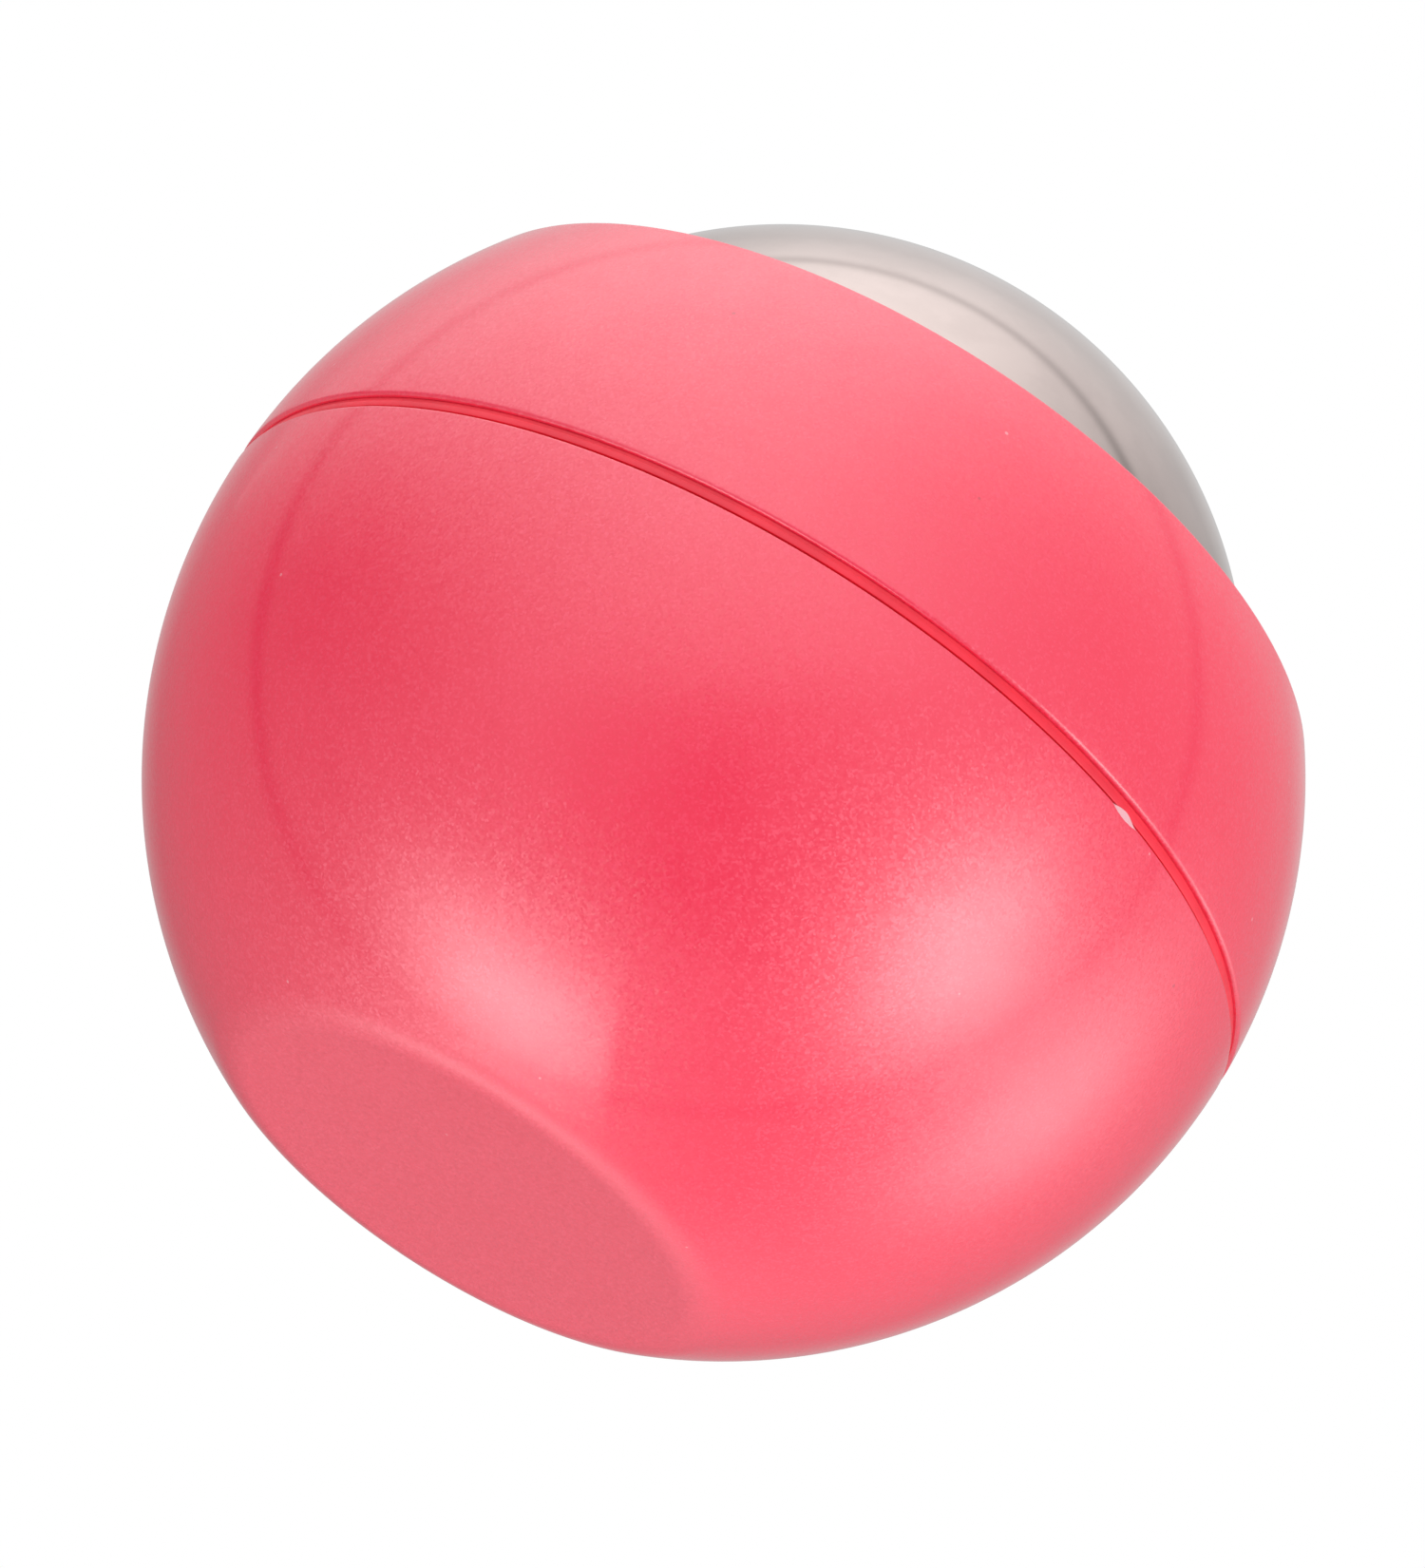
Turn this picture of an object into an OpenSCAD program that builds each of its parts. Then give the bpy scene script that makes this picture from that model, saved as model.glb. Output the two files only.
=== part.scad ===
// Steel ball that rolls in a two-part plastic holder.
// Origin: centre of the flat base. +Z: up through the ball. Millimetres.

/* [Ball] */
// Diameter of the polished steel ball
ball_d = 50.8; // [50.4:0.1:51.2]
// Height of the ball's centre above the base
ball_h = 34.6; // [34.2:0.1:35]
// Wall of the two pressed halves
ball_wall = 1.2; // [0.8:0.1:2]
// Width of the weld that joins the halves
weld_w = 1.2; // [0.8:0.1:2]
// Diameter of the plug that closes the filling hole
plug_d = 3; // [2:0.5:5]
// Height of the gel's level above the ball's centre
gel_level = 17; // [5:1:20]

/* [Shells] */
// Outer diameter of both shells, which share one sphere
shell_d = 63.4; // [63.2:0.1:64]
// Height of that sphere's centre above the base
shell_h = 28.1; // [27.9:0.1:28.4]
// Wall of the shells
wall = 2.2; // [2:0.1:2.3]
// Thickness of the flat bottom
floor_t = 2.4; // [2:0.1:2.5]
// Rounding between the flat base and the sphere
base_round = 5; // [0.5:0.1:6]
// Height of the groove's lower edge
groove_z = 27.6; // [27.5:0.1:27.9]
// Width of the groove between the shells
groove_w = 0.8; // [0.7:0.1:1.2]
// Height of the collar's rim
rim_z = 44.6; // [44.3:0.05:44.8]
// Rounding of the rim's outer edge
rim_round = 0.3; // [0.2:0.1:0.8]
// Rounding of the rim's inner edge
mouth_round = 0.4; // [0.2:0.1:0.6]
// Thickness of the lip over the ball
lip_t = 1.6; // [1.4:0.1:1.8]
// Gap between the lip and the ball
mouth_gap = 0.3; // [0.2:0.05:0.5]

/* [Joint ring] */
// Gap above and below the ring's flange
flange_gap = 0.1; // [0.06:0.02:0.2]
// Depth of the flange's rim below the shells
flange_recess = 0.2; // [0.1:0.1:0.8]
// Radius of the collar's seat on the ring
spigot_r = 29.6; // [29.5:0.05:29.65]
// Height of the collar's seat
spigot_h = 5; // [4.5:0.1:5.2]
// Depth of the ring's foot in the lower shell
foot_depth = 3.5; // [2:0.1:4.5]
// Thickness of the O-ring
o_ring_t = 1.5; // [1.2:0.1:1.6]

/* [Carrier] */
// Diameter of a support ball
support_d = 5; // [4.6:0.1:5.2]
// Angle of the support balls from straight down
support_angle = 40; // [39:0.5:42]
// Running clearance of the balls
running_gap = 0.03; // [0.02:0.01:0.06]
// Distance between the carrier and the big ball
carrier_gap = 0.8; // [0.6:0.1:1]
// Height of the carrier's top edge
carrier_top = 15; // [14:0.1:15.5]
// Thickness of the slip washer
washer_t = 0.5; // [0.3:0.1:0.6]

/* [Socket cup] */
// Height of the cup's underside
cup_z = 6.6; // [6.5:0.1:6.7]
// Wall of the cup
cup_wall = 1.4; // [1.2:0.1:1.5]
// Height of the cup's edge
cup_top = 18; // [16:0.5:20]
// Distance of the screws from the axis
screw_at = 8; // [7.5:0.1:8.5]
// Diameter of a screw's shank
screw_d = 2.2; // [1.8:0.1:2.4]
// Thickness of the steel weight
weight_t = 3; // [2:0.1:3]

/* [Hidden] */
$fn = 160;

pearl_pink = [0.98, 0.38, 0.46];
raw_red = [0.9, 0.22, 0.27];
steel = [0.78, 0.77, 0.76];
natural_plastic = [0.93, 0.92, 0.88];

far = 2 * shell_d; // longer than anything in the part
slack = 0.02; // between pieces of one body that only touch
reach = 1; // how far a cutter passes a face
fit_gap = 0.05; // of two pieces that slide or press together

ball_r = ball_d / 2;
shell_r = shell_d / 2;
inner_r = shell_r - wall;
collar_z = groove_z + groove_w;

// Rim: rounding circles of its outer and inner edge
rim_c_z = rim_z - rim_round;
rim_c_r = sqrt(pow(shell_r - rim_round, 2) - pow(rim_c_z - shell_h, 2));
lip_z = rim_z - lip_t;
mouth_c_z = rim_z - mouth_round;
mouth_c_r = across(ball_r + mouth_gap + mouth_round, mouth_c_z - ball_h);

// Base: rounding circle between the flat and the sphere
base_c_r = sqrt(pow(shell_r - base_round, 2) - pow(shell_h - base_round, 2));

// Joint ring
spigot_wall = 2.4;
spigot_chamfer = 0.4;
ring_bore_r = spigot_r - spigot_wall;
foot_r = 30;
flange_z = groove_z + flange_gap;
flange_top = collar_z - flange_gap;
spigot_top = flange_top + spigot_h;
skirt_gap = 0.6;
collar_bore_r = spigot_r + fit_gap;
skirt_top = spigot_top + skirt_gap;
o_ring_z = flange_top + spigot_h / 2;
o_ring_play = 0.1;
o_ring_c_r = spigot_r - o_ring_t / 2 - slack;

// Seat of the lip ring, and the wire ring that holds it in
seat_r = 26.9;
seat_z = 37.8;
wire_r = 0.5;
wire_z = 39;
wire_c_r = seat_r - 0.3 * wire_r;
wire_turn = 342;
wiper_t = 0.8;
lip_ring_z = wire_z + wire_r;
wiper_z = lip_z - wiper_t;

// Support balls
support_r = support_d / 2;
support_out = (ball_r + support_r + running_gap) * sin(support_angle);
support_z = ball_h - (ball_r + support_r + running_gap) * cos(support_angle);
support_turns = [90, 210, 330];

// Cup, carrier, washer and weight
cup_gap = 0.5;
cup_outer_r = inner_r - cup_gap;
cup_inner_r = cup_outer_r - cup_wall;
cup_floor = cup_z + cup_wall;
washer_in_r = 13.5;
washer_out_r = 18.4;
carrier_z = cup_floor + washer_t + fit_gap;
carrier_in_r = 13;
carrier_side = 0.4;
carrier_out_r = cup_inner_r - carrier_side;
screw_turns = [30, 150, 270];
boss_r = 2.4;
boss_gap = 0.2;
screw_gap = 0.1;
hole_z = floor_t + 1;
head_r = 2.1;
head_h = 1.1;
shank_l = cup_floor - hole_z - 0.2;
weight_r = 14;
pad_inset = 0.5;
weight_z = floor_t + slack;

// Radius of a sphere's section at a height above its centre
function across(r, height) = sqrt(r * r - height * height);

function toward(angle) = [cos(angle), sin(angle)];

// Half section of a sphere round the axis, between two heights
module slice(r, centre, low, high) {
    intersection() {
        translate([0, centre]) circle(r = r);
        translate([0, low]) square([far, high - low]);
    }
}

// Half section of a ring, from one radius to another and one height to another
module band(r1, r2, low, high) {
    translate([r1, low]) square([r2 - r1, high - low]);
}

// What a rounding of radius r takes off a corner, between two directions from its centre
module corner_waste(centre, r, from, to) {
    difference() {
        polygon([centre,
            centre + 4 * r * toward(from),
            centre + 6 * r * toward((from + to) / 2),
            centre + 4 * r * toward(to)]);
        translate(centre) circle(r = r);
    }
}

module around(turns) {
    for (a = turns) rotate([0, 0, a]) children();
}

module upright(r, low, high) {
    translate([0, 0, low]) cylinder(r = r, h = high - low);
}

module lower_shell() {
    base_turn = atan2(base_round - shell_h, base_c_r);
    color(pearl_pink) difference() {
        union() {
            rotate_extrude() difference() {
                slice(shell_r, shell_h, 0, groove_z);
                corner_waste([base_c_r, base_round], base_round, -90, base_turn);
                slice(inner_r, shell_h, floor_t, groove_z + reach);
                band(0, foot_r, groove_z - foot_depth, groove_z + reach);
            }
            around(screw_turns) translate([screw_at, 0, 0])
                upright(boss_r, floor_t / 2, cup_z);
        }
        around(screw_turns) translate([screw_at, 0, 0])
            upright(screw_d / 2, hole_z, cup_z + reach);
    }
}

module joint_ring() {
    o_ring_side = o_ring_t / 2 + o_ring_play;
    color(raw_red) rotate_extrude() difference() {
        union() {
            band(ring_bore_r, foot_r - slack, groove_z - foot_depth + slack, flange_top);
            intersection() {
                slice(shell_r - flange_recess, shell_h, flange_z, flange_top);
                band(ring_bore_r, far, flange_z, flange_top);
            }
            band(ring_bore_r, spigot_r, flange_z, spigot_top);
        }
        band(spigot_r - o_ring_t, far, o_ring_z - o_ring_side, o_ring_z + o_ring_side);
        translate([spigot_r, spigot_top]) rotate(45)
            square(sqrt(2) * spigot_chamfer, center = true);
    }
}

module o_ring() {
    color("dimgray") rotate_extrude()
        translate([o_ring_c_r, o_ring_z]) circle(r = o_ring_t / 2 - slack);
}

module socket_cup() {
    color(natural_plastic) difference() {
        rotate_extrude() difference() {
            slice(cup_outer_r, shell_h, cup_z, cup_top);
            slice(cup_inner_r, shell_h, cup_floor, cup_top + reach);
        }
        around(screw_turns) translate([screw_at, 0, 0])
            upright(screw_d / 2 + screw_gap, cup_z - reach, cup_floor + reach);
    }
}

module slip_washer() {
    color("white") rotate_extrude()
        band(washer_in_r, washer_out_r, cup_floor, cup_floor + washer_t);
}

module cup_screw() {
    recess_w = 0.6;
    recess_l = 2.2;
    recess_h = 1.4;
    difference() {
        union() {
            upright(head_r, 0, head_h);
            upright(screw_d / 2 - slack, -shank_l, slack);
        }
        for (a = [0, 90]) rotate([0, 0, a])
            translate([0, 0, head_h]) cube([recess_l, recess_w, recess_h], center = true);
    }
}

module cup_screws() {
    color("silver") around(screw_turns) translate([screw_at, 0, cup_floor]) cup_screw();
}

// A disc that the three bosses pass through
module bossed_disc(r, low, high) {
    difference() {
        upright(r, low, high);
        around(screw_turns) translate([screw_at, 0, 0])
            upright(boss_r + boss_gap, low - reach, high + reach);
    }
}

module base_weight() {
    color("slategray") bossed_disc(weight_r, weight_z, weight_z + weight_t);
}

module weight_pad() {
    color([0.25, 0.25, 0.26])
        bossed_disc(weight_r - pad_inset, weight_z + weight_t + slack, cup_z - slack);
}

module upper_shell() {
    rim_turn = atan2(rim_c_z - shell_h, rim_c_r);
    mouth_turn = 180 + atan2(mouth_c_z - ball_h, mouth_c_r);
    color(pearl_pink) rotate_extrude() difference() {
        slice(shell_r, shell_h, collar_z, rim_z);
        corner_waste([rim_c_r, rim_c_z], rim_round, rim_turn, 90);
        band(0, collar_bore_r, collar_z - reach, skirt_top);
        slice(inner_r, shell_h, skirt_top - slack, seat_z);
        band(0, seat_r, seat_z - slack, lip_z);
        translate([wire_c_r, wire_z]) circle(r = wire_r + slack);
        translate([0, ball_h]) circle(r = ball_r + mouth_gap);
        corner_waste([mouth_c_r, mouth_c_z], mouth_round, 90, mouth_turn);
    }
}

// Half section of a ring in the seat, open inwards to the ball
module seated(gap, low, high) {
    difference() {
        band(0, seat_r - slack, low, high);
        translate([0, ball_h]) circle(r = ball_r + gap);
    }
}

module lip_ring() {
    color(natural_plastic) rotate_extrude()
        seated(fit_gap, lip_ring_z + slack, wiper_z - slack);
}

module wiper_ring() {
    color([0.3, 0.3, 0.32]) rotate_extrude()
        seated(running_gap, wiper_z, lip_z - slack);
}

module retaining_ring() {
    color("silver") rotate_extrude(angle = wire_turn)
        translate([wire_c_r, wire_z]) circle(r = wire_r);
}

module carrier() {
    color([0.2, 0.21, 0.23]) difference() {
        rotate_extrude() difference() {
            intersection() {
                slice(carrier_out_r, shell_h, carrier_z, carrier_top);
                band(carrier_in_r, far, carrier_z, carrier_top);
            }
            translate([0, ball_h]) circle(r = ball_r + carrier_gap);
        }
        around(support_turns) translate([support_out, 0, support_z])
            sphere(r = support_r + running_gap);
    }
}

module support_ball(turn) {
    color(steel) rotate([0, 0, turn])
        translate([support_out, 0, support_z]) sphere(r = support_r);
}

// One pressed half: up is 1 for the upper half and -1 for the lower
module ball_half(up) {
    translate([0, 0, ball_h]) mirror([0, 0, up < 0 ? 1 : 0])
        rotate_extrude() difference() {
            slice(ball_r, 0, weld_w / 2, far);
            slice(ball_r - ball_wall, 0, 0, far);
        }
}

module ball_lower_half() {
    color(steel) difference() {
        ball_half(-1);
        upright(plug_d / 2, 0, ball_h);
    }
}

module ball_upper_half() {
    color(steel) ball_half(1);
}

module weld_bead() {
    color(steel) translate([0, 0, ball_h]) rotate_extrude() difference() {
        slice(ball_r, 0, -weld_w / 2, weld_w / 2);
        slice(ball_r - ball_wall, 0, -weld_w, weld_w);
    }
}

module fill_plug() {
    color("silver") intersection() {
        translate([0, 0, ball_h]) sphere(r = ball_r);
        upright(plug_d / 2 - slack, 0, ball_h - ball_r + ball_wall + 1);
    }
}

module cooling_gel() {
    color([0.45, 0.72, 0.9]) difference() {
        translate([0, 0, ball_h]) rotate_extrude()
            slice(ball_r - ball_wall - slack, 0, -far / 2, gel_level);
        upright(plug_d / 2, 0, ball_h - ball_r + ball_wall + 1 + slack);
    }
}

lower_shell();
joint_ring();
o_ring();
socket_cup();
slip_washer();
cup_screws();
base_weight();
weight_pad();
upper_shell();
lip_ring();
wiper_ring();
retaining_ring();
carrier();
support_ball(support_turns[0]);  // support_ball_1
support_ball(support_turns[1]);  // support_ball_2
support_ball(support_turns[2]);  // support_ball_3
ball_lower_half();
ball_upper_half();
weld_bead();
fill_plug();
cooling_gel();
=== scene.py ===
"""Looks for a steel ball in a two-part pearl plastic holder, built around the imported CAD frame."""

import math

import bmesh
import bpy
from mathutils import Matrix, Vector


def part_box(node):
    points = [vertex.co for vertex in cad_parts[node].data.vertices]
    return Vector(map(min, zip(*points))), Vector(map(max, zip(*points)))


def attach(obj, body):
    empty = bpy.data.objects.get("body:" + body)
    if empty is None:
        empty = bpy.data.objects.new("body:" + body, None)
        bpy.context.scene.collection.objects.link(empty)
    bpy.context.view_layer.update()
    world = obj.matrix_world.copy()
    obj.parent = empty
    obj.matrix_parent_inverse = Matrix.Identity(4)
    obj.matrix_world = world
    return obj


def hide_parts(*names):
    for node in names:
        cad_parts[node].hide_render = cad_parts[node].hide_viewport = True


MM = 0.001

# Camera: where it looks, from how far, from which side, and its turn about its own axis
AIM = Vector((-0.37, 0, 27.52)) * MM
CAMERA_DISTANCE = 465.13 * MM
CAMERA_AZIMUTH = math.radians(0.05)
CAMERA_ELEVATION = math.radians(-23.17)
CAMERA_ROLL = math.radians(32.78)
CAMERA_LENS = 195.77
SENSOR = 36

# The shells lie on one sphere. Sizes in millimetres, as in the CAD model
SHELL_R = 31.7
SHELL_Z = 28.1
WALL_R = 29.5
SEGMENTS = 256

# Paint chip with a raised burr on the lower shell's edge: degrees round from the front, half its
# length, half its height, how far it is pressed in, and how far it goes behind the edge
CHIP_TURN = 35.8
CHIP_HALF = 1.3
CHIP_HEIGHT = 0.24
CHIP_DEPTH = 0.06
CHIP_BEHIND = 0.15

# The studio is a white tent. Its brightness, against a white wall of 1, by the angle in degrees
# from the camera's direction at rest
TENT = [(0, 0.27), (20, 0.45), (40, 0.57), (60, 0.37), (80, 0.36), (110, 0.39), (130, 0.30),
        (150, 0.19), (165, 0.29), (180, 0.29)]

EXPOSURE = 1.06

# Lamps that glow through the tent, and darker parts of it. Each has the angle from the camera's
# direction, the turn round that direction from the camera's right, half the width and height of
# the glow, its tilt and its strength. It may end at an edge: the side that the edge faces, as an
# angle and a turn, and how far the edge fades. All in degrees
GLOWS = {
    "left lamp": (61, -134, 9.5, 15, 5, 4.1, (99, 163, 2)),
    "left lamp's spill": (98, -123, 26, 15, 45, 0.64, None),
    "left lamp's foot": (104, -128, 7, 9, 0, 0.8, None),
    "right lamp": (58, -36, 11.5, 15.5, -8, 4.3, None),
    "low lamp": (98.5, -46.5, 11.5, 15.5, -17, 1.9, None),
    "top panel": (70, 92, 31, 47, 120, 0.8, (107.5, 95.5, 8)),
    "back panel": (118, 77, 40, 27, -19, 0.9, None),
    "camera's gap": (31, -88, 12.5, 29, 125, -0.33, None),
    "camera's hood": (4, 80, 24, 11, 3, -0.16, (74, -95, 3)),
    "left corner": (95, 151, 20, 12, -1, -0.35, None),
}

# The seam where the tent's front meets its back: the direction that it goes round, its angle from
# that, half its width, and how much darker it is
SEAM = (32, 88, 99.5, 1.6, 0.3)

BACKDROP_R = 3.5
FLOOR_R = 0.9

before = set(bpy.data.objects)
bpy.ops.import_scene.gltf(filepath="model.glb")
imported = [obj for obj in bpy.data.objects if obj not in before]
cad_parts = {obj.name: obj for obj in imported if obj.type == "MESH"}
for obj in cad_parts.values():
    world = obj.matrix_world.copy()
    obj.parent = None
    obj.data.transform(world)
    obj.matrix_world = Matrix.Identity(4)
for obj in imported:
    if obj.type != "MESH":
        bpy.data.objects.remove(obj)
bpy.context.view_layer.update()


# ---------------------------------------------------------------- outlines

def toward(angle):
    """Unit vector in an outline's plane, at an angle in degrees from +R."""
    return Vector((math.cos(math.radians(angle)), math.sin(math.radians(angle))))


def arc(centre, radius, start, end, steps):
    """Points on an arc, from one angle in degrees to another, both ends included."""
    turn = (end - start) / steps
    return [Vector(centre) + radius * toward(start + turn * i) for i in range(steps + 1)]


def joined(stretches, hold=0.06):
    """One outline from arcs and points. Points close to a straight line's ends keep it flat."""
    stretches = [s if isinstance(s, list) else [Vector(s)] for s in stretches]
    outline = list(stretches[0])
    for stretch in stretches[1:]:
        start, end = outline[-1], stretch[0]
        along = end - start
        if along.length > 5 * hold:
            along.normalize()
            outline += [start + along * hold, end - along * hold]
        outline += stretch
    return outline


def across(radius, height):
    """Radius of a sphere's section at a height above its centre."""
    return math.sqrt(radius * radius - height * height)


def rounding(radius, middle_z, height, round_r):
    """Centre of a rounding at a height, that touches a sphere from inside, and its direction."""
    centre = Vector((across(radius - round_r, height - middle_z), height))
    return centre, math.degrees(math.atan2(height - middle_z, centre.x))


def sphere_angle(radius, middle_z, height):
    return math.degrees(math.asin((height - middle_z) / radius))


# ---------------------------------------------------------------- meshes

def turned(mesh, outline, angles=None, loop=True):
    """Adds to a bmesh what an outline in millimetres makes when it turns round the Z axis."""
    angles = angles or [360 * i / SEGMENTS for i in range(SEGMENTS)]
    rings = []
    for point in outline:
        if point.x < 1e-6:
            rings.append([mesh.verts.new((0, 0, point.y * MM))])
            continue
        ways = [toward(angle - 90) * point.x * MM for angle in angles]
        rings.append([mesh.verts.new((way.x, way.y, point.y * MM)) for way in ways])
    pairs = list(zip(rings, rings[1:]))
    if loop:
        pairs.append((rings[-1], rings[0]))
    for low, high in pairs:
        if len(low) == 1 and len(high) == 1:
            continue
        for i in range(len(angles)):
            j = (i + 1) % len(angles)
            ring = [low[i % len(low)], low[j % len(low)], high[j % len(high)], high[i % len(high)]]
            mesh.faces.new(list(dict.fromkeys(ring)))


def finished(name, mesh, sharp=math.radians(30)):
    """An object of a bmesh, with smooth faces and sharp corners."""
    bmesh.ops.recalc_face_normals(mesh, faces=mesh.faces)
    for face in mesh.faces:
        face.smooth = True
    for edge in mesh.edges:
        edge.smooth = edge.calc_face_angle(0) < sharp
    data = bpy.data.meshes.new(name)
    mesh.to_mesh(data)
    mesh.free()
    piece = bpy.data.objects.new(name, data)
    bpy.context.scene.collection.objects.link(piece)
    return piece


def box_mm(node):
    """Lowest and highest corner of a CAD node, in millimetres."""
    low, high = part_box(node)
    return low / MM, high / MM


def place(piece, body, slot, *nodes):
    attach(piece, body)
    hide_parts(*nodes)
    return piece


def chip_point():
    """Middle of the paint chip's upper edge."""
    groove_z = box_mm("lower_shell")[1].z
    way = toward(CHIP_TURN - 90) * across(SHELL_R, groove_z - SHELL_Z)
    return Vector((way.x, way.y, groove_z))


def dent_chip(mesh):
    """Presses the paint chip into the shell, and raises its burr along the shell's edge."""
    point = chip_point()
    out = Vector((point.x, point.y, 0)).normalized()
    aside = Vector((-out.y, out.x, 0))
    for vert in mesh.verts:
        away = vert.co / MM - point
        along = (away @ aside) / CHIP_HALF
        if abs(along) > 1 or away @ out < -CHIP_BEHIND:
            continue
        height = CHIP_HEIGHT * (1 - along * along)
        share = min(max((height + away.z) / CHIP_HEIGHT, 0), 1)
        vert.co.z += height * share * MM
        vert.co -= out * CHIP_DEPTH * math.sin(math.pi * share) * MM


def lower_shell():
    base_round, edge_round = 5.0, 0.12
    floor_top, foot_r, foot_depth = 2.4, 30.0, 3.5
    boss_at, boss_r, boss_low, boss_high, hole_r, hole_z = 8.0, 2.4, 1.8, 6.6, 1.1, 3.4
    groove_z = box_mm("lower_shell")[1].z
    middle = (0, SHELL_Z)
    base, base_turn = rounding(SHELL_R, SHELL_Z, base_round, base_round)
    edge, edge_turn = rounding(SHELL_R, SHELL_Z, groove_z - edge_round, edge_round)
    step_z = groove_z - foot_depth
    outline = joined([
        (0, 0),
        arc(base, base_round, -90, base_turn, 14),
        arc(middle, SHELL_R, base_turn, edge_turn - 1, 110)[1:],
        arc(middle, SHELL_R, edge_turn - 1, edge_turn, 6)[1:-1],
        arc(edge, edge_round, edge_turn, 90, 6),
        (foot_r, groove_z),
        (foot_r, step_z),
        arc(middle, WALL_R, sphere_angle(WALL_R, SHELL_Z, step_z),
            sphere_angle(WALL_R, SHELL_Z, floor_top), 48),
        (0, floor_top),
    ])
    step, steps = 0.15, 18
    fine = [CHIP_TURN + step * i for i in range(-steps, steps + 1)]
    coarse = [360 * i / SEGMENTS for i in range(SEGMENTS)]
    angles = sorted(fine + [a for a in coarse if abs(a - CHIP_TURN) > step * steps + 0.1])
    mesh = bmesh.new()
    turned(mesh, outline, angles, loop=False)
    dent_chip(mesh)
    boss = [Vector(p) for p in ((0, boss_low), (boss_r, boss_low), (boss_r, boss_high),
                                (hole_r, boss_high), (hole_r, hole_z), (0, hole_z))]
    for turn in (30, 150, 270):
        made = len(mesh.verts)
        turned(mesh, boss, [7.5 * i for i in range(48)], loop=False)
        mesh.verts.ensure_lookup_table()
        way = toward(turn) * boss_at * MM
        bmesh.ops.translate(mesh, vec=(way.x, way.y, 0), verts=mesh.verts[made:])
    return place(finished("lower_shell_body", mesh), "holder", "pearl_paint", "lower_shell")


def upper_shell():
    low, high = box_mm("upper_shell")
    collar_z, rim_z = low.z, high.z
    weld_low, weld_high = box_mm("weld_bead")
    ball_r, ball_z = weld_high.x, (weld_low.z + weld_high.z) / 2
    edge_round, rim_round, mouth_round, mouth_gap, lip_t = 0.25, 0.3, 0.4, 0.3, 1.6
    bore_r, seat_r, seat_z, skirt_gap = 29.65, 26.9, 37.8, 0.6
    skirt_top = box_mm("joint_ring")[1].z + skirt_gap
    middle, ball_middle = (0, SHELL_Z), (0, ball_z)
    edge, edge_turn = rounding(SHELL_R, SHELL_Z, collar_z + edge_round, edge_round)
    rim, rim_turn = rounding(SHELL_R, SHELL_Z, rim_z - rim_round, rim_round)
    mouth, mouth_turn = rounding(ball_r + mouth_gap + 2 * mouth_round, ball_z,
                                 rim_z - mouth_round, mouth_round)
    lip_z = rim_z - lip_t
    mesh = bmesh.new()
    turned(mesh, joined([
        arc(edge, edge_round, -90, edge_turn, 8),
        arc(middle, SHELL_R, edge_turn, rim_turn, 56)[1:-1],
        arc(rim, rim_round, rim_turn, 90, 14),
        arc(mouth, mouth_round, 90, mouth_turn + 180, 12),
        arc(ball_middle, ball_r + mouth_gap, mouth_turn,
            sphere_angle(ball_r + mouth_gap, ball_z, lip_z), 4)[1:],
        (seat_r, lip_z),
        (seat_r, seat_z),
        arc(middle, WALL_R, sphere_angle(WALL_R, SHELL_Z, seat_z),
            sphere_angle(WALL_R, SHELL_Z, skirt_top), 10),
        (bore_r, skirt_top),
        (bore_r, collar_z),
    ]))
    return place(finished("upper_shell_body", mesh), "collar", "pearl_paint", "upper_shell")


def joint_ring():
    """The red ring between the shells: a fine step round its rim, and the O-ring's groove."""
    low, high = box_mm("joint_ring")
    rim_r, spigot_r, bore_r, foot_r = high.x, 29.6, 27.2, 29.98
    gap_below, gap_above, step_drop, o_ring_t = 0.15, 0.02, 0.25, 1.5
    play, ease, chamfer, step = 0.12, 0.05, 0.4, 0.1
    rim_z = box_mm("lower_shell")[1].z + gap_below
    rim_top = box_mm("upper_shell")[0].z - gap_above
    step_z = rim_top - step_drop
    o_low, o_high = box_mm("o_ring")
    seat = o_high.x - o_ring_t
    mesh = bmesh.new()
    turned(mesh, joined([
        (bore_r, low.z),
        (foot_r, low.z),
        (foot_r, rim_z),
        arc((rim_r - ease, rim_z + ease), ease, -90, 0, 4),
        arc((rim_r - ease, step_z - ease), ease, 0, 90, 4),
        (rim_r - step, step_z),
        (rim_r - step, rim_top),
        (spigot_r, rim_top),
        (spigot_r, o_low.z - play),
        (seat, o_low.z - play),
        (seat, o_high.z + play),
        (spigot_r, o_high.z + play),
        (spigot_r, high.z - chamfer),
        (spigot_r - chamfer, high.z),
        (bore_r, high.z),
    ]))
    return place(finished("joint_ring_body", mesh), "holder", "red_plastic", "joint_ring")


def steel_ball():
    """The two halves and their weld, ground to one hollow ball, with a hole for the fill plug."""
    low, high = box_mm("weld_bead")
    centre, radius = (0, (low.z + high.z) / 2), high.x
    wall, plug_gap = 1.2, 0.02
    hole_r = box_mm("fill_plug")[1].x + plug_gap
    inner = radius - wall
    start = -math.degrees(math.acos(hole_r / radius))
    inner_start = -math.degrees(math.acos(hole_r / inner))
    outside = arc(centre, radius, start, 90, 140)
    inside = arc(centre, inner, 90, inner_start, 60)
    outside[-1].x = inside[0].x = 0
    mesh = bmesh.new()
    turned(mesh, outside + inside)
    return place(finished("steel_ball", mesh), "ball", "polished_steel",
                 "ball_lower_half", "ball_upper_half", "weld_bead")


# ---------------------------------------------------------------- node helpers

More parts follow.
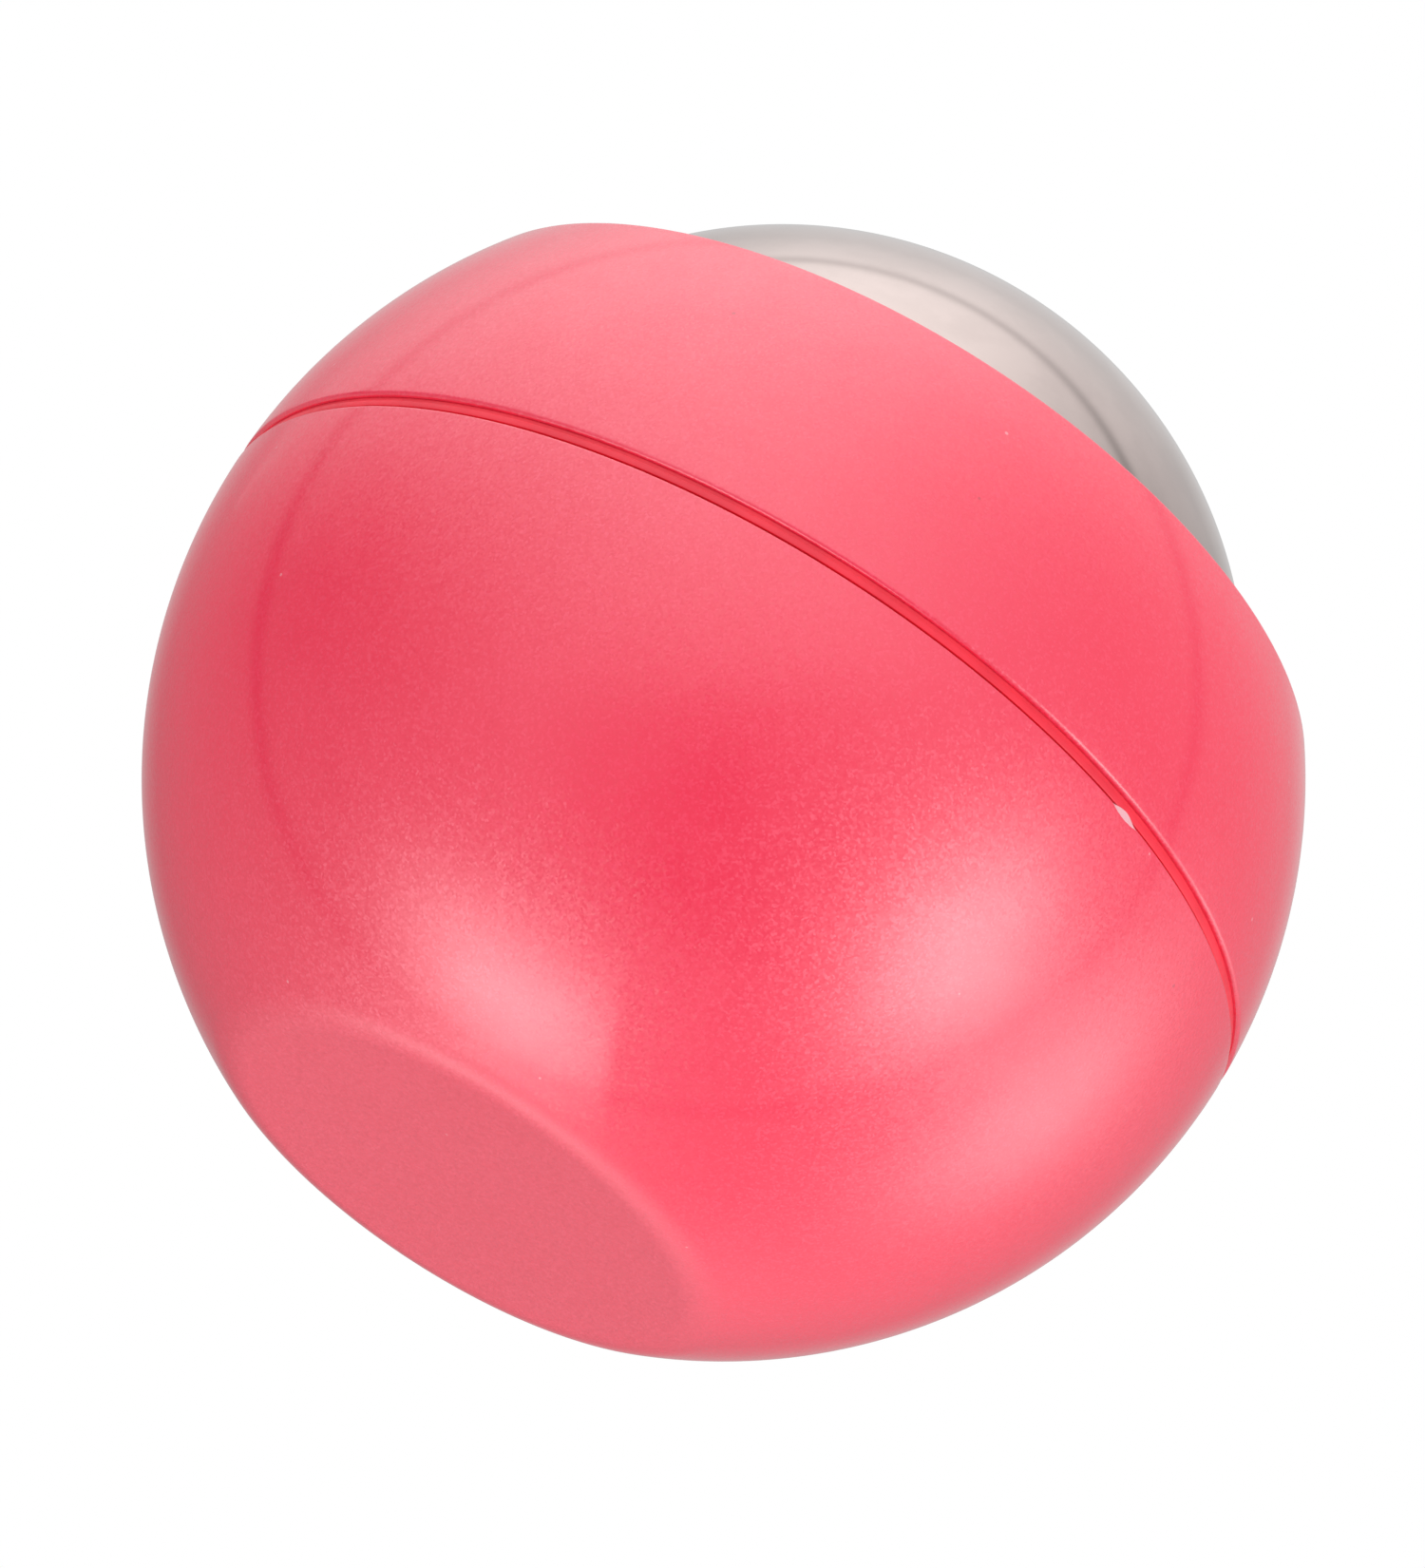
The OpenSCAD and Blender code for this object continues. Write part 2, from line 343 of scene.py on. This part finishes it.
def add(tree, kind, inputs=None, **settings):
    """A shader node with its settings. Inputs that are sockets are linked."""
    new = tree.nodes.new("ShaderNode" + kind)
    for name, value in settings.items():
        setattr(new, name, value)
    for name, value in (inputs or {}).items():
        if isinstance(value, bpy.types.NodeSocket):
            tree.links.new(value, new.inputs[name])
        else:
            new.inputs[name].default_value = value
    return new


def maths(tree, operation, first, second=0.0, clamp=False):
    new = add(tree, "Math", {0: first, 1: second}, operation=operation, use_clamp=clamp)
    return new.outputs[0]


def vectors(tree, operation, first, second=(0, 0, 0)):
    new = add(tree, "VectorMath", {0: first, 1: second}, operation=operation)
    return new.outputs["Value" if operation in ("DOT_PRODUCT", "LENGTH") else "Vector"]


def noise(tree, size_mm, detail=3.0, stretch=(1, 1, 1)):
    """Noise from 0 to 1 with features of about size_mm, fixed to the piece."""
    at = add(tree, "TexCoord").outputs["Object"]
    if stretch != (1, 1, 1):
        at = vectors(tree, "MULTIPLY", at, stretch)
    made = add(tree, "TexNoise", {"Vector": at, "Scale": 1 / (size_mm * MM), "Detail": detail})
    return made.outputs["Fac"]


def ranged(tree, value, low, high, new_low, new_high, smooth=True):
    """Value moved from one range to another, and held at its ends."""
    made = add(tree, "MapRange", {"Value": value, "From Min": low, "From Max": high,
                                  "To Min": new_low, "To Max": new_high},
               interpolation_type="SMOOTHSTEP" if smooth else "LINEAR")
    return made.outputs["Result"]


def blended(tree, share, first, second):
    made = add(tree, "Mix", {"Factor": share}, data_type="RGBA")
    for socket, value in ((made.inputs[6], first), (made.inputs[7], second)):
        if isinstance(value, bpy.types.NodeSocket):
            tree.links.new(value, socket)
        else:
            socket.default_value = (*value, 1)
    return made.outputs[2]


def bumped(tree, height, depth_mm, normal=None):
    inputs = {"Height": height, "Distance": depth_mm * MM, "Strength": 1.0}
    if normal is not None:
        inputs["Normal"] = normal
    return add(tree, "Bump", inputs).outputs["Normal"]


def new_material(name, **values):
    """A material and its tree and shader. Uniform values sit on the shader's own sockets."""
    made = bpy.data.materials.new(name)
    made.use_nodes = True
    shader = made.node_tree.nodes["Principled BSDF"]
    for socket, value in values.items():
        shader.inputs[socket.replace("_", " ")].default_value = value
    return made, made.node_tree, shader


def feed(tree, shader, **sockets):
    for name, value in sockets.items():
        tree.links.new(value, shader.inputs[name.replace("_", " ")])


# ---------------------------------------------------------------- materials

PEARL = (0.97, 0.020, 0.078)
# PEARL_LIGHT: the lighter pink of the paint's random cloud, and of the painted glint on some flakes
PEARL_LIGHT = (1.0, 0.045, 0.12)
PEARL_SPECK = (0.30, 0.02, 0.035)
PALE_DUST = (1.0, 0.45, 0.5)
BARE_PLASTIC = (0.92, 0.45, 0.50)
FLAKE_SIZE = 0.13
FLAKE_TILT = 0.12


def chip_mask(tree):
    """1 inside the paint chip, 0 outside it."""
    point = chip_point() * MM
    out = Vector((point.x, point.y, 0)).normalized()
    at = add(tree, "TexCoord").outputs["Object"]
    away = vectors(tree, "SUBTRACT", at, point)
    aside = vectors(tree, "DOT_PRODUCT", away, (-out.y, out.x, 0))
    along = maths(tree, "DIVIDE", aside, CHIP_HALF * MM)
    room = maths(tree, "SUBTRACT", 1.0, maths(tree, "MULTIPLY", along, along))
    up = vectors(tree, "DOT_PRODUCT", away, (0, 0, 1))
    rise = maths(tree, "DIVIDE", up, CHIP_HEIGHT * MM)
    ragged = maths(tree, "MULTIPLY", maths(tree, "SUBTRACT", noise(tree, 0.25), 0.5), 0.5)
    inside = maths(tree, "ADD", maths(tree, "SUBTRACT", room, maths(tree, "ABSOLUTE", rise)), ragged)
    facing = maths(tree, "GREATER_THAN", vectors(tree, "DOT_PRODUCT", away, out), -1 * MM)
    return maths(tree, "MULTIPLY", ranged(tree, inside, 0.0, 0.12, 0.0, 1.0), facing)


def speck_mask(tree, apart_mm, size_mm, share):
    """Sparse round specks: about one in 1/share cells of apart_mm holds one."""
    at = add(tree, "TexCoord").outputs["Object"]
    cells = add(tree, "TexVoronoi", {"Vector": at, "Scale": 1 / (apart_mm * MM)})
    size = size_mm / apart_mm
    dot = ranged(tree, cells.outputs["Distance"], 0.6 * size, size, 1.0, 0.0)
    chosen = add(tree, "SeparateColor", {"Color": cells.outputs["Color"]}).outputs["Red"]
    return maths(tree, "MULTIPLY", dot, maths(tree, "LESS_THAN", chosen, share))


def pearl_paint():
    """Pearl lacquer: fine flakes that glint each their own way, under a clear coat."""
    made, tree, shader = new_material(
        "pearl_paint", Coat_Weight=0.9, Coat_Roughness=0.05, Coat_IOR=1.54, Specular_IOR_Level=0.88,
        Sheen_Weight=0.2, Sheen_Roughness=0.4, Sheen_Tint=(1, 0.05, 0.1, 1))
    at = add(tree, "TexCoord").outputs["Object"]
    flakes = add(tree, "TexVoronoi", {"Vector": at, "Scale": 1 / (FLAKE_SIZE * MM)}).outputs["Color"]
    parts = add(tree, "SeparateColor", {"Color": flakes})
    lean = vectors(tree, "SUBTRACT", flakes, (0.5, 0.5, 0.5))
    tilt = vectors(tree, "MULTIPLY", lean, (2 * FLAKE_TILT,) * 3)
    skin = add(tree, "NewGeometry").outputs["Normal"]
    flake_normal = vectors(tree, "NORMALIZE", vectors(tree, "ADD", skin, tilt))
    # Flakes that tilt towards +X are painted a lighter pink: a painted glint, beside the real glints that
    # their tilt gives
    glint = ranged(tree, parts.outputs["Red"], 0.55, 1.0, 0.0, 0.7)
    cloud = ranged(tree, noise(tree, 9, 2), 0.3, 0.7, 0.0, 0.12)
    colour = blended(tree, maths(tree, "ADD", glint, cloud, clamp=True), PEARL, PEARL_LIGHT)
    specks = speck_mask(tree, 3.2, 0.14, 0.06)
    colour = blended(tree, maths(tree, "MULTIPLY", specks, 0.4), colour, PEARL_SPECK)
    dust = speck_mask(tree, 2.3, 0.13, 0.2)
    colour = blended(tree, maths(tree, "MULTIPLY", dust, 0.5), colour, PALE_DUST)
    chip = chip_mask(tree)
    colour = blended(tree, chip, colour, BARE_PLASTIC)
    rough = maths(tree, "ADD", ranged(tree, noise(tree, 2.5), 0.35, 0.65, 0.41, 0.47),
                  maths(tree, "MULTIPLY", chip, 0.3))
    peel = maths(tree, "ADD", noise(tree, 1.6, 2), maths(tree, "MULTIPLY", specks, -0.6))
    feed(tree, shader, Base_Color=colour, Roughness=rough, Normal=flake_normal,
         Coat_Normal=bumped(tree, peel, 0.0012))
    return made


def polished_steel(name, colour, rough_low, rough_high, scratch_mm):
    made, tree, shader = new_material(name, Metallic=1.0)
    haze = noise(tree, 4, 4)
    scratches = noise(tree, scratch_mm, 2, (1, 1, 0.06))
    tone = blended(tree, ranged(tree, haze, 0.35, 0.65, 0.0, 1.0), colour, tuple(0.93 * c for c in colour))
    rough = ranged(tree, maths(tree, "ADD", haze, maths(tree, "MULTIPLY", scratches, 0.3)),
                   0.4, 0.8, rough_low, rough_high)
    feed(tree, shader, Base_Color=tone, Roughness=rough, Normal=bumped(tree, scratches, 0.0006))
    return made


def moulded(name, colour, roughness, grain_mm, relief_mm, mottle=0.12, **values):
    """Moulded plastic or rubber: mottled, with a fine grain."""
    made, tree, shader = new_material(name, **values)
    grain, patch = noise(tree, grain_mm, 4), noise(tree, 12 * grain_mm, 3)
    dark = tuple(c * (1 - mottle) for c in colour)
    tone = blended(tree, ranged(tree, patch, 0.35, 0.65, 0.0, 1.0), colour, dark)
    rough = ranged(tree, grain, 0.3, 0.7, roughness - 0.06, roughness + 0.06)
    feed(tree, shader, Base_Color=tone, Roughness=rough, Normal=bumped(tree, grain, relief_mm))
    return made


def drawn_metal(name, colour, roughness, stretch, line_mm=0.12):
    """Turned, drawn or sawn metal: fine lines along one way, and a dull bloom in patches."""
    made, tree, shader = new_material(name, Metallic=1.0)
    lines, bloom = noise(tree, line_mm, 3, stretch), noise(tree, 2.2, 4)
    tone = blended(tree, ranged(tree, bloom, 0.4, 0.7, 0.0, 1.0), colour, tuple(0.75 * c for c in colour))
    rough = ranged(tree, maths(tree, "ADD", lines, bloom), 0.6, 1.4, roughness - 0.08, roughness + 0.1)
    feed(tree, shader, Base_Color=tone, Roughness=rough, Normal=bumped(tree, lines, 0.004))
    return made


def felt():
    made, tree, shader = new_material("felt", Roughness=0.95, Sheen_Weight=0.4, Sheen_Roughness=0.5)
    fibres = noise(tree, 0.12, 5, (1, 1, 3))
    # The felt is darker where its fibres lie low in the bump and lighter where they stand up: partly the
    # fibres' own tone, partly painted shade between them
    tone = blended(tree, ranged(tree, fibres, 0.35, 0.7, 0.0, 1.0), (0.045, 0.045, 0.05), (0.12, 0.12, 0.13))
    feed(tree, shader, Base_Color=tone, Normal=bumped(tree, fibres, 0.06))
    return made


def foam():
    made, tree, shader = new_material("foam", Roughness=0.9)
    at = add(tree, "TexCoord").outputs["Object"]
    cells = add(tree, "TexVoronoi", {"Vector": at, "Scale": 1 / (0.35 * MM)}).outputs["Distance"]
    # Each foam cell is darker towards its middle, where the bump sinks it into a pit: painted shade in the
    # pits
    tone = blended(tree, ranged(tree, cells, 0.1, 0.6, 0.0, 1.0), (0.02, 0.02, 0.022), (0.075, 0.075, 0.08))
    feed(tree, shader, Base_Color=tone, Normal=bumped(tree, cells, 0.08))
    return made


def gel():
    made, tree, shader = new_material("gel", Roughness=0.12, Transmission_Weight=0.6, IOR=1.35)
    cloud = noise(tree, 6, 3)
    tone = blended(tree, ranged(tree, cloud, 0.3, 0.7, 0.0, 1.0), (0.16, 0.46, 0.78), (0.28, 0.62, 0.88))
    feed(tree, shader, Base_Color=tone, Normal=bumped(tree, cloud, 0.02))
    return made


def dress(finish, *pieces):
    for piece in pieces:
        piece.data.materials.clear()
        piece.data.materials.append(finish)


def dress_all(shells, ring, ball):
    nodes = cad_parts
    supports = [nodes[f"support_ball_{k}"] for k in (1, 2, 3)]
    dress(pearl_paint(), *shells)
    dress(moulded("red_plastic", (1.0, 0.035, 0.07), 0.4, 0.3, 0.003, Specular_IOR_Level=0.4), ring)
    dress(polished_steel("polished_steel", (0.57, 0.475, 0.45), 0.04, 0.08, 0.5), ball, *supports)
    dress(drawn_metal("plug_steel", (0.57, 0.49, 0.47), 0.18, (1, 1, 1)), nodes["fill_plug"])
    dress(drawn_metal("spring_steel", (0.52, 0.52, 0.54), 0.3, (1, 1, 6), 0.2), nodes["retaining_ring"])
    dress(drawn_metal("screw_steel", (0.62, 0.63, 0.66), 0.3, (1, 1, 8)), nodes["cup_screws"])
    dress(drawn_metal("weight_steel", (0.34, 0.35, 0.37), 0.45, (8, 1, 1), 0.4), nodes["base_weight"])
    natural = moulded("natural_plastic", (0.85, 0.83, 0.77), 0.45, 0.25, 0.004, 0.06,
                      Subsurface_Weight=0.15, Subsurface_Scale=0.001)
    dress(natural, nodes["socket_cup"], nodes["lip_ring"])
    dress(moulded("dark_plastic", (0.045, 0.047, 0.055), 0.42, 0.2, 0.006, 0.25), nodes["carrier"])
    dress(moulded("white_plastic", (0.90, 0.90, 0.89), 0.5, 0.4, 0.003, 0.05), nodes["slip_washer"])
    dress(moulded("rubber", (0.03, 0.03, 0.032), 0.55, 0.15, 0.006, 0.3), nodes["o_ring"])
    dress(felt(), nodes["wiper_ring"])
    dress(foam(), nodes["weight_pad"])
    dress(gel(), nodes["cooling_gel"])


# ---------------------------------------------------------------- stage

def make_camera():
    level = math.cos(CAMERA_ELEVATION)
    back = Vector((math.sin(CAMERA_AZIMUTH) * level, -math.cos(CAMERA_AZIMUTH) * level,
                   math.sin(CAMERA_ELEVATION)))
    data = bpy.data.cameras.new("camera")
    data.lens = CAMERA_LENS
    data.sensor_width = SENSOR
    data.clip_start = 0.01
    data.clip_end = 20
    camera = bpy.data.objects.new("camera", data)
    bpy.context.scene.collection.objects.link(camera)
    facing = (-back).to_track_quat("-Z", "Y").to_matrix().to_4x4()
    turn = Matrix.Rotation(CAMERA_ROLL, 4, "Z")
    camera.matrix_world = Matrix.Translation(AIM + back * CAMERA_DISTANCE) @ facing @ turn
    bpy.context.scene.camera = camera
    return camera


def seen_from_camera(camera, angle, turn):
    """World direction at an angle from the camera's direction, turned round it, in degrees."""
    angle, turn = math.radians(angle), math.radians(turn)
    way = Vector((math.sin(angle) * math.cos(turn), math.sin(angle) * math.sin(turn), math.cos(angle)))
    return camera.matrix_world.to_3x3() @ way


def gauss(tree, *ratios):
    """Fades from 1 at ratios of 0, as a bell curve."""
    total = 0.0
    for ratio in ratios:
        total = maths(tree, "ADD", maths(tree, "POWER", maths(tree, "ABSOLUTE", ratio), 2), total)
    return maths(tree, "EXPONENT", maths(tree, "MULTIPLY", total, -0.5))


def angle_from(tree, way, direction):
    """Angle in radians between the looked-up direction and a fixed one."""
    return maths(tree, "ARCCOSINE", vectors(tree, "DOT_PRODUCT", way, direction))


def glow(tree, way, camera, lamp):
    """Brightness that one lamp adds to the tent, fading out round its middle."""
    angle, turn, width, height, tilt, strength, edge = lamp
    middle = seen_from_camera(camera, angle, turn)
    outward = seen_from_camera(camera, angle + 90, turn)
    aside = middle.cross(outward)
    tilt = math.radians(tilt)
    across_way = outward * math.cos(tilt) + aside * math.sin(tilt)
    along_way = aside * math.cos(tilt) - outward * math.sin(tilt)
    x = maths(tree, "ARCTAN2", vectors(tree, "DOT_PRODUCT", way, across_way),
              vectors(tree, "DOT_PRODUCT", way, middle))
    y = maths(tree, "ARCSINE", vectors(tree, "DOT_PRODUCT", way, along_way))
    shape = gauss(tree, maths(tree, "DIVIDE", x, math.radians(width)),
                  maths(tree, "DIVIDE", y, math.radians(height)))
    if edge:
        side_angle, side_turn, fade = edge
        side = maths(tree, "SUBTRACT", math.pi / 2,
                     angle_from(tree, way, seen_from_camera(camera, side_angle, side_turn)))
        fade = math.radians(fade)
        shape = maths(tree, "MULTIPLY", shape, ranged(tree, side, -fade, fade, 0.0, 1.0))
    return maths(tree, "MULTIPLY", shape, strength)


def seam(tree, way, camera):
    """Brightness that the tent's seam takes away."""
    angle, turn, radius, width, depth = SEAM
    away = maths(tree, "SUBTRACT", angle_from(tree, way, seen_from_camera(camera, angle, turn)),
                 math.radians(radius))
    return maths(tree, "MULTIPLY", gauss(tree, maths(tree, "DIVIDE", away, math.radians(width))), -depth)


def make_tent(camera):
    """Soft light from all round: the tent's own brightness and the lamps that glow through it."""
    scene = bpy.context.scene
    world = bpy.data.worlds.new("tent")
    world.use_nodes = True
    scene.world = world
    tree = world.node_tree
    way = vectors(tree, "NORMALIZE", add(tree, "TexCoord").outputs["Generated"])
    angle = angle_from(tree, way, seen_from_camera(camera, 0, 0))
    ramp = add(tree, "ValToRGB", {"Fac": maths(tree, "DIVIDE", angle, math.pi)})
    points = ramp.color_ramp.elements
    while len(points) < len(TENT):
        points.new(0.5)
    for point, (degrees, bright) in zip(points, TENT):
        point.position = degrees / 180
        point.color = (bright, bright, bright, 1)
    total = maths(tree, "ADD", ramp.outputs["Color"], seam(tree, way, camera))
    for lamp in GLOWS.values():
        total = maths(tree, "ADD", total, glow(tree, way, camera, lamp))
    total = maths(tree, "MAXIMUM", total, 0.0)
    tree.links.new(total, tree.nodes["Background"].inputs["Color"])
    tree.nodes["Background"].inputs["Strength"].default_value = EXPOSURE


def stage_piece(name, mesh, finish):
    data = bpy.data.meshes.new(name)
    mesh.to_mesh(data)
    mesh.free()
    piece = bpy.data.objects.new(name, data)
    bpy.context.scene.collection.objects.link(piece)
    data.materials.append(finish)
    for way in ("diffuse", "glossy", "transmission", "volume_scatter", "shadow"):
        setattr(piece, "visible_" + way, False)
    return piece


def make_backdrop():
    """A white dome that only the camera sees."""
    finish = bpy.data.materials.new("backdrop")
    finish.use_nodes = True
    tree = finish.node_tree
    tree.nodes.remove(tree.nodes["Principled BSDF"])
    white = add(tree, "Emission", {"Color": (1, 1, 1, 1), "Strength": 1.0})
    tree.links.new(white.outputs[0], tree.nodes["Material Output"].inputs["Surface"])
    mesh = bmesh.new()
    bmesh.ops.create_icosphere(mesh, subdivisions=4, radius=BACKDROP_R)
    return stage_piece("backdrop", mesh, finish)


def make_floor():
    """A pale floor that shows from above only, and fades into the backdrop."""
    finish, tree, shader = new_material("floor", Roughness=0.8)
    mottle = noise(tree, 3, 3)
    tone = blended(tree, mottle, (0.86, 0.86, 0.86), (0.90, 0.90, 0.90))
    feed(tree, shader, Base_Color=tone, Normal=bumped(tree, mottle, 0.01))
    away = vectors(tree, "LENGTH", add(tree, "TexCoord").outputs["Object"])
    fade = ranged(tree, away, 0.25 * FLOOR_R, 0.95 * FLOOR_R, 0.0, 1.0)
    under = add(tree, "NewGeometry").outputs["Backfacing"]
    clear = maths(tree, "MAXIMUM", fade, under)
    mix = add(tree, "MixShader", {0: clear, 1: shader.outputs[0], 2: add(tree, "BsdfTransparent").outputs[0]})
    tree.links.new(mix.outputs[0], tree.nodes["Material Output"].inputs["Surface"])
    mesh = bmesh.new()
    bmesh.ops.create_circle(mesh, cap_ends=True, segments=96, radius=FLOOR_R)
    floor = stage_piece("floor", mesh, finish)
    floor.location.z = -0.05 * MM
    return floor


def main():
    camera = make_camera()
    shells = [lower_shell(), upper_shell()]
    dress_all(shells, joint_ring(), steel_ball())
    bpy.context.scene.view_settings.view_transform = "Standard"
    make_tent(camera)
    make_backdrop()
    make_floor()


main()
